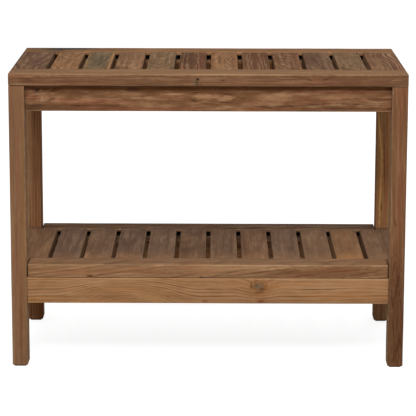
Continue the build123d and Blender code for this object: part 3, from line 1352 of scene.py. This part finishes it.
    def shape(self, stick: Stick, long: bool) -> None:
        """Shapes an apron with its tenons and the counterbores for its screws.

        Args:
            stick: The apron.
            long: Whether it runs along the table's length.
        """
        stick.shape()
        along, across = (0, 1) if long else (1, 0)
        low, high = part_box(stick.node)
        low.z, high.z = JOINERY.tenon_band(stick.high.z, stick.low.z, long)
        low[across], high[across] = JOINERY.tenon_side(stick.low[across], stick.high[across])
        use_tool(stick.piece, add_block("tenon", low, high), Joint.JOIN)
        middle = (stick.low + stick.high) / 2
        seat = stick.high.z - JOINERY.screw_grip * MM
        for step in self.screw_steps if long else (0.0,):
            place = middle.copy()
            place[along] += step * JOINERY.screw_spacing * MM
            place.z = stick.low.z
            select_only(None)
            bpy.ops.mesh.primitive_cylinder_add(
                vertices=32, radius=JOINERY.counterbore * MM / 2,
                depth=2 * (seat - stick.low.z), location=place,
            )
            use_tool(stick.piece, bpy.context.object, Joint.CUT)

    def build(self) -> None:
        """Builds the front and the left aprons, and a mirrored twin of each."""
        plain = Grain(ring=5, pith_across=-12, pith_deep=-50, lean_deep=0.03, contrast=0.8)
        fronts = self.front_timbers()
        seed = self.seed
        for level in Level:
            long_pair = {Side.FRONT: fronts[level], Side.REAR: Timber(Teak.GOLDEN, plain)}
            short_pair = {Side.LEFT: Timber(Teak.COCOA, plain),
                          Side.RIGHT: Timber(Teak.APRICOT, plain)}
            for pair, across, lay in (
                (long_pair, 1, Lay.ON_EDGE_ALONG), (short_pair, 0, Lay.ON_EDGE_CROSSWISE)
            ):
                sticks = []
                for side, timber in pair.items():
                    sticks.append(Stick(apron_node(level, side), self.slot, lay, timber,
                                        *apron_box(level, side), arris=self.arris, seed=seed))
                    seed += 1
                self.shape(sticks[0], long=pair is long_pair)
                sticks[1].piece = twin(sticks[0].piece, sticks[1].name(), (across,))
                for stick in sticks:
                    stick.dress()


@dataclass
class SlattedPanel:
    """Two grooved rails with end boards and slats between them.

    Attributes:
        prefix: First word of the names of its solids.
        slot: Material slot of the record; not used.
        rails: Wood of the front rail and of the rear one.
        ends: Wood of the left end board and of the right one.
        slats: Wood of the slats, from the left.
        seed: Number of the front rail's wood, from which those of the other boards count.
        rail_arris: Radius to which the rails' long edges are eased, in millimetres.
        slat_arris: The same for the slats and the end boards.
        rail_wear_and_highlight: How the rails' arrises are paler, from wear and a painted
            highlight.
        end_wear_and_highlight: The same for the end boards.
        slat_wear_and_highlight: The same for the slats.
    """

    prefix: str
    slot: str
    rails: dict[Side, Timber]
    ends: dict[Side, Timber]
    slats: Sequence[Timber]
    seed: int
    rail_arris: float = 2.0
    slat_arris: float = 1.0
    # Paler arrises: wear, and a painted highlight along the rails' eased edges
    rail_wear_and_highlight: WearAndHighlight = WearAndHighlight(pale=0.5, reach=2.4)
    end_wear_and_highlight: WearAndHighlight = WearAndHighlight(pale=0.08, reach=0.9, sides_only=True)
    slat_wear_and_highlight: WearAndHighlight = WearAndHighlight(pale=0.4, reach=0.9, sides_only=True)

    def groove_band(self, surface: float, fit: float) -> tuple[float, float]:
        """Gives the height limits of the groove, or of the tongue.

        Args:
            surface: Height of the rails' top face, in metres.
            fit: Room on each side, in millimetres, which is nothing for the tongue.

        Returns:
            Lowest and highest point, in metres.
        """
        top = surface - (JOINERY.groove_upper_lip - fit) * MM
        return top - (JOINERY.tongue_thickness + 2 * fit) * MM, top

    def inner_edge(self) -> float:
        """Gives how far the rails' inner edges lie from the middle, in metres."""
        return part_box(f"{self.prefix}_rail_rear")[0].y

    def tongue_tip(self) -> float:
        """Gives how far the tongues reach from the middle, in metres."""
        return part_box(f"{self.prefix}_slat_01")[1].y

    def build_rails(self) -> None:
        """Builds the front rail with its groove, and the rear rail as its mirrored twin."""
        sticks = []
        for number, (side, timber) in enumerate(self.rails.items()):
            node = f"{self.prefix}_rail_{side.value}"
            sticks.append(Stick(node, self.slot, Lay.ALONG, timber, *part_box(node),
                                arris=self.rail_arris, seed=self.seed + number,
                                wear=self.rail_wear_and_highlight))
        front = sticks[0]
        front.shape()
        bottom, top = self.groove_band(front.high.z, JOINERY.fit)
        past = 5 * MM  # how far the cutter sticks out of the rail
        lip, back = self.inner_edge(), self.tongue_tip() + JOINERY.play * MM
        low = Vector((front.low.x - past, -back, bottom))
        high = Vector((front.high.x + past, past - lip, top))
        use_tool(front.piece, add_block("groove", low, high), Joint.CUT)
        sticks[1].piece = twin(front.piece, sticks[1].name(), (1,))
        worn = 0.6 * MM  # more than the wear moves a face

        def in_groove(middle: Vector) -> bool:
            """Tells whether a face lies inside the groove."""
            deep = lip + worn < abs(middle.y) < back + worn
            return deep and bottom - worn < middle.z < top + worn

        for stick in sticks:
            stick.dress()
            # Painted shade: the faces inside the groove are made near-black
            stick.paint_groove_shade(in_groove)

    def add_tongues(self, stick: Stick) -> None:
        """Joins the tongues at both ends of a slat or an end board to it.

        Args:
            stick: The slat or end board.
        """
        inset = JOINERY.tongue_inset * MM
        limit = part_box(f"{self.prefix}_rail_front")[1].x
        bottom, top = self.groove_band(stick.high.z, 0.0)
        low = Vector((max(stick.low.x + inset, -limit), -self.tongue_tip(), bottom))
        high = Vector((min(stick.high.x - inset, limit), self.tongue_tip(), top))
        use_tool(stick.piece, add_block("tongue", low, high), Joint.JOIN)

    def crossboard(self, node: str, timber: Timber, seed: int, wear: WearAndHighlight) -> Stick:
        """Plans a slat or an end board.

        Args:
            node: Name of its solid.
            timber: Its wood.
            seed: Number of its wood.
            wear: How its arrises are paler, from wear and a painted highlight.

        Returns:
            The stick, not yet shaped.
        """
        low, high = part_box(node)
        low.y, high.y = -self.inner_edge(), self.inner_edge()
        return Stick(node, self.slot, Lay.CROSSWISE, timber, low, high,
                     arris=self.slat_arris, seed=seed, wear=wear)

    def build_ends(self) -> None:
        """Builds the left end board, and the right one as its mirrored twin."""
        sticks = [
            self.crossboard(f"{self.prefix}_end_board_{side.value}", timber,
                            self.seed + 10 + number, self.end_wear_and_highlight)
            for number, (side, timber) in enumerate(self.ends.items())
        ]
        left = sticks[0]
        left.shape()
        self.add_tongues(left)
        low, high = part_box(left.node)
        # The shelf's end boards also go round the legs, with a strip outside them
        if high.y > self.tongue_tip() + MM:
            high.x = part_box("leg_front_left")[1].x
            strip = Stick("outer_strip", self.slot, Lay.CROSSWISE, left.timber, low, high,
                          arris=self.slat_arris)
            strip.shape()
            use_tool(left.piece, strip.piece, Joint.JOIN)
        sticks[1].piece = twin(left.piece, sticks[1].name(), (0,))
        for stick in sticks:
            stick.dress()

    def build_slats(self) -> None:
        """Builds the first slat, and the others as its copies, each with its own wear."""
        sticks = [
            self.crossboard(f"{self.prefix}_slat_{number + 1:02d}", timber,
                            self.seed + 20 + number, self.slat_wear_and_highlight)
            for number, timber in enumerate(self.slats)
        ]
        first = sticks[0]
        first.shape()
        self.add_tongues(first)
        for stick in sticks[1:]:
            stick.piece = twin(
                first.piece, stick.name(), shift=(stick.low.x - first.low.x, 0.0, 0.0)
            )
        for stick in sticks:
            stick.dress()

    def build(self) -> None:
        """Builds the rails, the end boards and the slats."""
        self.build_rails()
        self.build_ends()
        self.build_slats()


def top_panel() -> SlattedPanel:
    """Chooses the wood of the top.

    Returns:
        The top's panel, still to be built.
    """
    flat = Grain(ring=5, pith_across=8, pith_deep=-44, lean_across=0.02, lean_deep=0.06,
                 wander=8, contrast=0.7, clouds=0.8, patina=0.04)
    swirl = Grain(ring=4, pith_across=-6, pith_deep=-26, lean_across=0.05, lean_deep=0.12,
                  wander=12, contrast=0.9, clouds=0.6)
    striped = Grain(ring=3.2, pith_across=50, pith_deep=-60, lean_across=0.05,
                    lean_deep=0.02, wander=4, contrast=1.0, clouds=0.6)
    arched = Grain(ring=5, pith_across=2, pith_deep=-22, lean_across=0.02, lean_deep=0.12,
                   wander=7, contrast=0.9, clouds=0.8, patina=0.12)
    rough = Grain(ring=4, pith_across=20, pith_deep=-34, lean_deep=0.08, wander=16,
                  contrast=0.7, clouds=1.3, streaks=1.3, patina=0.2)
    edge = Grain(ring=6, pith_across=10, pith_deep=-70, lean_across=0.004, lean_deep=0.012,
                 wander=5, contrast=0.35, streaks=0.75, clouds=0.55)
    zoned = Grain(ring=4.4, pith_across=13, pith_deep=-7, lean_across=0.03, lean_deep=0.015,
                  wander=7, contrast=2.0, streaks=0.8, clouds=0.6)
    dark = "#3b251b"
    front_marks = (
        Mark((-272, -27, 0), (15, 6, 5), "#4a2c20", 0.55, fade=(0.0, 1.2)),
        Mark((-256, -27, 4), (8, 6, 2), dark, 0.4),
        Mark((-96, -27, 1), (10, 6, 3), "#5c4440", 0.35),
        Mark((-16, -27, 1), (3.0, 6, 2.4), "#1f1d14", 0.95),
        Mark((-17, -27, -5), (2.6, 6, 6), "#4a4434", 0.75, fade=(0.2, 1.1)),
        Mark((-21.5, -27, -2), (1.2, 6, 6), "#5b5a48", 0.6),
        Mark((-13, -27, -6), (9, 6, 4), "#4c3322", 0.5, fade=(0.0, 1.1)),
        Mark((22, -27, 0), (4.5, 6, 1.4), dark, 0.7),
        Mark((120, -27, 1), (28, 6, 1.6), "#5a3529", 0.4),
        Mark((164, -27, 0), (10, 6, 4.5), "#8a553d", 0.5, pull=6, fade=(0.0, 1.2)),
        Mark((152, -27, 1), (5, 6, 1.4), dark, 0.4, tilt=(0, 25, 0)),
        Mark((176, -27, 2), (8, 6, 1.0), dark, 0.35, tilt=(0, -14, 0)),
        Mark((272, -27, 1), (10, 6, 1.6), dark, 0.35, tilt=(0, -16, 0)),
        # Painted light: the whole top face paler than the front face, as the light falls on it
        Mark((0, 0, 9.5), (900, 90, 5), "#ac8763", 0.32, fade=(0.3, 0.8)),
        Mark((-190, -8, 9.5), (90, 3.5, 4), "#5f4130", 0.45, fade=(0.0, 1.2)),
        Mark((90, 10, 9.5), (120, 3.5, 4), "#664733", 0.4, fade=(0.0, 1.2)),
    )
    rear_marks = (
        Mark((-256, 4, 9), (54, 60, 8), "#554530", 0.45, fade=(0.4, 1.2)),
        Mark((-222, 15, 9), (42, 11, 8), "#2d2927", 0.95, tilt=(0, 0, 4), fade=(0.5, 1.2)),
        Mark((-250, 0, 9), (20, 19, 8), "#3f3a37", 0.8, fade=(0.2, 1.2)),
        Mark((-200, 4, 9), (30, 5, 8), "#6b5138", 0.4, fade=(0.0, 1.2)),
    )
    grey = "#625c48"
    return SlattedPanel(
        "top", "top_teak",
        rails={Side.FRONT: Timber(Teak.COCOA, edge, front_marks),
               Side.REAR: Timber(Teak.HONEY, edge, rear_marks)},
        ends={
            Side.LEFT: Timber(Teak.PLUM, flat, (
                Mark((-10, -8, 9), (60, 12, 10), "#5a3c36", 0.5, fade=(0.0, 1.2)),)),
            Side.RIGHT: Timber(Teak.COCOA, zoned, (
                Mark((52, 2, 9), (30, 9, 20), "#6a4630", 0.45, pull=9, fade=(0.2, 1.2)),
                Mark((-20, 12, 9), (60, 7, 10), "#95704f", 0.4, fade=(0.0, 1.2)),)),
        },
        slats=(
            Timber(Teak.HONEY, swirl, (
                Mark((10, -6, 9), (60, 5, 9), "#6b4a30", 0.45, tilt=(0, 0, -8)),)),
            Timber(Teak.OLIVE, rough, (
                Mark((0, -19, 9), (220, 3.0, 6), "#a37b52", 0.85, fade=(0.5, 1.0)),
                Mark((0, 2, 9), (180, 17, 12), grey, 0.5, fade=(0.3, 1.2)),
                Mark((-20, -2, 9), (110, 14, 9), "#4b3e2b", 0.5, fade=(0.2, 1.2)),
                Mark((30, -11, 9), (90, 4, 8), "#4c4a3c", 0.5, fade=(0.0, 1.2)),
                Mark((-40, 17, 9), (60, 4, 8), "#96764f", 0.5, fade=(0.0, 1.2)),)),
            Timber(Teak.SADDLE, flat, (
                Mark((-40, -6, 9), (70, 8, 9), "#9a7756", 0.4, fade=(0.0, 1.2)),)),
            Timber(Teak.OLIVE, arched),
            Timber(Teak.UMBER, striped, (
                Mark((0, -13, 9), (160, 7, 10), "#744330", 0.5, fade=(0.0, 1.2)),
                Mark((50, 12, 9), (80, 8, 10), "#54382c", 0.5, fade=(0.0, 1.2)),)),
            Timber(Teak.HONEY, flat, (
                Mark((4, -24, 9), (34, 14, 14), strength=0.0, pull=30),
                Mark((18, -7, 9), (40, 1.6, 8), "#4a2f1f", 0.75, tilt=(0, 0, -10)),
                Mark((-53, -10, 9), (34, 1.8, 8), "#4a2f1f", 0.75, tilt=(0, 0, 17)),
                Mark((14, -14, 9), (26, 1.3, 8), "#5a3b28", 0.65, tilt=(0, 0, -11)),
                Mark((-46, -15, 9), (24, 1.4, 8), "#5a3b28", 0.65, tilt=(0, 0, 13)),
                Mark((-16, -12, 9), (20, 4, 8), "#7d5636", 0.4, fade=(0.0, 1.2)),
                Mark((-60, 8, 9), (50, 9, 8), "#a97b52", 0.45, fade=(0.0, 1.2)),)),
            Timber(Teak.CHESTNUT, striped, (
                Mark((-20, 12, 9), (80, 1.3, 8), "#a07a5c", 0.55, tilt=(0, 0, -3)),
                Mark((-30, 7, 9), (70, 1.2, 8), "#a07a5c", 0.5, tilt=(0, 0, -4)),
                Mark((0, 0, 9), (200, 30, 9), "#5d3d27", 0.3, fade=(0.3, 1.2)),)),
            Timber(Teak.COCOA, swirl),
            Timber(Teak.PLUM, swirl, (
                Mark((-10, 4, 9), (90, 3.0, 9), "#443629", 0.6, tilt=(0, 0, 6)),
                Mark((0, 0, 9), (200, 30, 9), "#5d3f28", 0.3, fade=(0.3, 1.2)),
                Mark((20, -10, 9), (90, 5, 9), "#7e654c", 0.4, fade=(0.0, 1.2)),)),
            Timber(Teak.OLIVE, swirl, (
                Mark((-30, -4, 9), (40, 8, 12), strength=0.0, pull=18),)),
        ),
        seed=60,
        slat_wear_and_highlight=WearAndHighlight(pale=0.04, reach=0.9, sides_only=True),
    )


def shelf_panel() -> SlattedPanel:
    """Chooses the wood of the shelf.

    Returns:
        The shelf's panel, still to be built.
    """
    flat = Grain(ring=6, pith_across=6, pith_deep=-60, lean_across=0.02, lean_deep=0.03,
                 wander=6, contrast=0.35, streaks=0.6, clouds=0.6, patina=0.15)
    front = Grain(ring=6.5, pith_across=-14, pith_deep=-60, lean_across=0.0,
                  lean_deep=0.13, wander=7, contrast=0.75, streaks=0.7, clouds=0.6)
    rear = Grain(ring=5, pith_across=-30, pith_deep=-60, wander=6, contrast=0.6, patina=0.1)
    dark = "#3a2013"
    front_marks = (
        Mark((-180, -22, -8), (6, 6, 2.4), dark, 0.7, pull=4, halo=0.3),
        Mark((-215, -22, -3), (60, 6, 5), "#9a6f4a", 0.4, fade=(0.0, 1.2)),
        Mark((0, -22, 2), (80, 8, 14), "#b38760", 0.3, fade=(0.2, 1.2)),
        Mark((-10, -22, -9.4), (5, 6, 1.3), "#25150d", 0.9),
        Mark((24, -22, -4), (32, 6, 0.8), dark, 0.55, tilt=(0, -12, 0)),
        Mark((-34, -22, -6), (34, 6, 1.1), "#5b3624", 0.5, tilt=(0, -10, 0)),
        Mark((70, -22, -3), (36, 6, 0.9), dark, 0.45, tilt=(0, -9, 0)),
        Mark((116, -22, -1), (32, 6, 1.0), dark, 0.5, tilt=(0, -7, 0)),
        Mark((150, -22, -6), (30, 6, 1.1), "#4a2c1b", 0.5, tilt=(0, -6, 0)),
        Mark((205, -22, 1), (44, 6, 1.2), "#4a2c1b", 0.5, tilt=(0, -4, 0)),
        Mark((230, -22, -4), (36, 6, 1.4), "#4a2c1b", 0.5, tilt=(0, -9, 0)),
        Mark((190, -22, 0), (120, 8, 12), "#6c4327", 0.5, fade=(0.3, 1.2)),
        Mark((-75, -5, 10), (30, 2.2, 5), "#4b3830", 0.6),
        Mark((150, -4, 10), (60, 2.4, 5), "#4b3830", 0.55, tilt=(0, 0, 3)),
        Mark((60, 0, 10.5), (600, 80, 4), "#86705a", 0.22, fade=(0.3, 0.8)),
        Mark((-120, -2, 10.5), (70, 4, 4), "#6b5040", 0.4, fade=(0.0, 1.2)),
        Mark((-130, 2, 10.5), (170, 60, 4), "#5d4430", 0.2, fade=(0.5, 1.1)),
    )
    front_light_colour = "#a9794e"

    def front_end_light(strength: float) -> Mark:
        """Gives the warmer, paler patch at the front end of a slat: painted light, where light
        reaches under the top.
        """
        return Mark((-104, 2, 10), (46, 30, 12), front_light_colour, strength, fade=(0.0, 1.3))

    # Painted light at the slats' front ends: faint on most slats, stronger on some
    dim, bright = (front_end_light(0.22),), (front_end_light(0.8),)
    wedge = Mark((-94, 19, 10), (52, 8, 8), "#a67d58", 0.6, tilt=(0, 0, -8), fade=(0.0, 1.2))
    knot = Mark((30, 12, 10), (26, 7, 12), "#8a6650", 0.6, pull=8)
    return SlattedPanel(
        "shelf", "shelf_teak",
        rails={Side.FRONT: Timber(Teak.APRICOT, front, front_marks),
               Side.REAR: Timber(Teak.PLUM, rear)},
        ends={Side.LEFT: Timber(Teak.SADDLE, flat), Side.RIGHT: Timber(Teak.ROSE, flat, dim)},
        slats=(
            Timber(Teak.ASH_BROWN, flat, dim),
            Timber(Teak.DUSK, flat, dim + (wedge,)),
            Timber(Teak.ASH_BROWN, flat, (front_end_light(0.45),)),
            Timber(Teak.DRIFTWOOD, flat, dim),
            Timber(Teak.PLUM, flat, dim + (knot,)),
            Timber(Teak.DUSK, flat, dim),
            Timber(Teak.TAN, flat, (front_end_light(0.35),)),
            Timber(Teak.DRIFTWOOD, flat, dim),
            Timber(Teak.ROSE, flat, dim),
            Timber(Teak.APRICOT, flat, bright),
        ),
        seed=100,
        rail_wear_and_highlight=WearAndHighlight(pale=0.65, reach=2.6),
    )


@dataclass
class Fasteners:
    """Dowels and screws, which keep their solids and get their finish.

    Attributes:
        dowels: Names of the dowels' solids.
        screws: Names of the screws' solids.
    """

    dowels: tuple[str, ...] = ("leg_dowels",)
    screws: tuple[str, ...] = ("top_screws", "shelf_screws")

    def build(self) -> None:
        """Gives the dowels and screws their finishes."""
        for names, finish in ((self.dowels, BEECH), (self.screws, ZINC_STEEL)):
            material = finish.build()
            for name in names:
                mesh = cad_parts[name].data
                mesh.materials.clear()
                mesh.materials.append(material)
                LOG.info("%s: %s", name, material.name)


# Camera and studio


@dataclass
class PhotoCamera:
    """The camera at the photograph's viewing angle.

    Attributes:
        place: Where it stands, in metres.
        lens: Focal length, in millimetres.
        sensor: Width of the sensor, in millimetres.
        pitch: How far it looks down, in degrees.
        yaw: How far it is turned to the left, in degrees.
        roll: How far it is tilted, in degrees.
        shift: Vertical shift, as a share of the sensor.
    """

    place: tuple[float, float, float] = (0.0112, -3.0594, 0.8750)
    lens: float = 170.1
    sensor: float = 36.0
    pitch: float = 10.905
    yaw: float = 0.222
    roll: float = 0.139
    shift: float = -0.10

    def build(self) -> None:
        """Adds the camera and makes it the scene's."""
        data = bpy.data.cameras.new("photo_camera")
        data.lens = self.lens
        data.sensor_width = self.sensor
        data.shift_y = self.shift
        camera = bpy.data.objects.new("photo_camera", data)
        turn = (
            Matrix.Rotation(math.radians(self.yaw), 3, "Z")
            @ Matrix.Rotation(math.radians(90 - self.pitch), 3, "X")
            @ Matrix.Rotation(math.radians(self.roll), 3, "Z")
        )
        camera.rotation_euler = turn.to_euler()
        camera.location = self.place
        bpy.context.collection.objects.link(camera)
        bpy.context.scene.camera = camera


@dataclass
class Studio:
    """A pale floor and plain soft light.

    Attributes:
        floor_size: Side of the floor, in metres.
        floor_colour: Its colour, which takes the table's shadow.
        floor_glow: Its glow, where it is seen directly.
        sky: Strength of the even light from all sides.
        lamps: Name, place, size and power of each lamp, in metres and watts.
        aim: The place that the lamps face.
    """

    floor_size: float = 60.0
    floor_colour: str = "#b2b2b2"
    floor_glow: float = 0.86
    sky: float = 0.36
    lamps: tuple[tuple[str, tuple[float, float, float], float, float], ...] = (
        ("key", (-0.1, -2.15, 2.15), 1.1, 61.0),
        ("behind", (1.2, 2.6, 1.6), 1.6, 14.0),
    )
    aim: tuple[float, float, float] = (0.0, 0.0, 0.25)

    def seen_directly(self, tree: Tree) -> Socket:
        """Adds nodes that tell rays from the camera and mirrored rays from the rest.

        Args:
            tree: Nodes of the floor's material, or of the world.

        Returns:
            1 where the floor or the world is seen directly or in a mirror, otherwise 0.
        """
        rays = add_node(tree, "ShaderNodeLightPath").outputs
        mirrored = add_node(
            tree, "ShaderNodeMath",
            {0: rays["Is Glossy Ray"], 1: rays["Is Transmission Ray"]}, operation="ADD",
        ).outputs[0]
        return add_node(
            tree, "ShaderNodeMath", {0: rays["Is Camera Ray"], 1: mirrored},
            operation="ADD", use_clamp=True,
        ).outputs[0]

    def build_floor(self) -> None:
        """Adds the floor: matt and pale, with a glow that only the camera sees."""
        select_only(None)
        bpy.ops.mesh.primitive_plane_add(size=self.floor_size)
        floor = bpy.context.object
        floor.name = "floor"
        material = bpy.data.materials.new("pale_matt_floor")
        material.use_nodes = True
        tree = material.node_tree
        tree.nodes.clear()
        matt = add_node(tree, "ShaderNodeBsdfDiffuse", {"Color": linear(self.floor_colour)})
        strength = add_node(
            tree, "ShaderNodeMath", {0: self.seen_directly(tree), 1: self.floor_glow},
            operation="MULTIPLY",
        ).outputs[0]
        glow = add_node(tree, "ShaderNodeEmission", {"Strength": strength})
        both = add_node(tree, "ShaderNodeAddShader", {0: matt.outputs[0], 1: glow.outputs[0]})
        add_node(tree, "ShaderNodeOutputMaterial", {"Surface": both.outputs[0]})
        floor.data.materials.append(material)

    def build_sky(self) -> None:
        """Sets the world: an even soft light, white where it is seen directly."""
        world = bpy.data.worlds.new("studio")
        world.use_nodes = True
        tree = world.node_tree
        tree.nodes.clear()
        white = (1, 1, 1, 1)
        soft = add_node(tree, "ShaderNodeBackground", {"Color": white, "Strength": self.sky})
        bright = add_node(tree, "ShaderNodeBackground", {"Color": white, "Strength": 1.0})
        both = add_node(
            tree, "ShaderNodeMixShader",
            {0: self.seen_directly(tree), 1: soft.outputs[0], 2: bright.outputs[0]},
        )
        add_node(tree, "ShaderNodeOutputWorld", {"Surface": both.outputs[0]})
        bpy.context.scene.world = world

    def build_lamps(self) -> None:
        """Adds square soft lamps that face the middle of the table."""
        for name, place, size, power in self.lamps:
            data = bpy.data.lights.new(name, "AREA")
            data.size = size
            data.energy = power
            lamp = bpy.data.objects.new(name, data)
            lamp.location = place
            facing = Vector(self.aim) - Vector(place)
            lamp.rotation_euler = facing.to_track_quat("-Z", "Y").to_euler()
            bpy.context.collection.objects.link(lamp)

    def build(self) -> None:
        """Builds the floor, the sky and the lamps."""
        self.build_floor()
        self.build_sky()
        self.build_lamps()
        bpy.context.scene.view_settings.view_transform = "Standard"


def main() -> None:
    """Builds the camera, the studio and the table, piece by piece."""
    logging.basicConfig(level=logging.INFO, format="%(name)s: %(message)s")
    PhotoCamera().build()
    Studio().build()
    for assembly in (Legs(), Aprons(), top_panel(), shelf_panel(), Fasteners()):
        LOG.info("building %s", type(assembly).__name__)
        assembly.build()


if __name__ == "__main__":
    main()
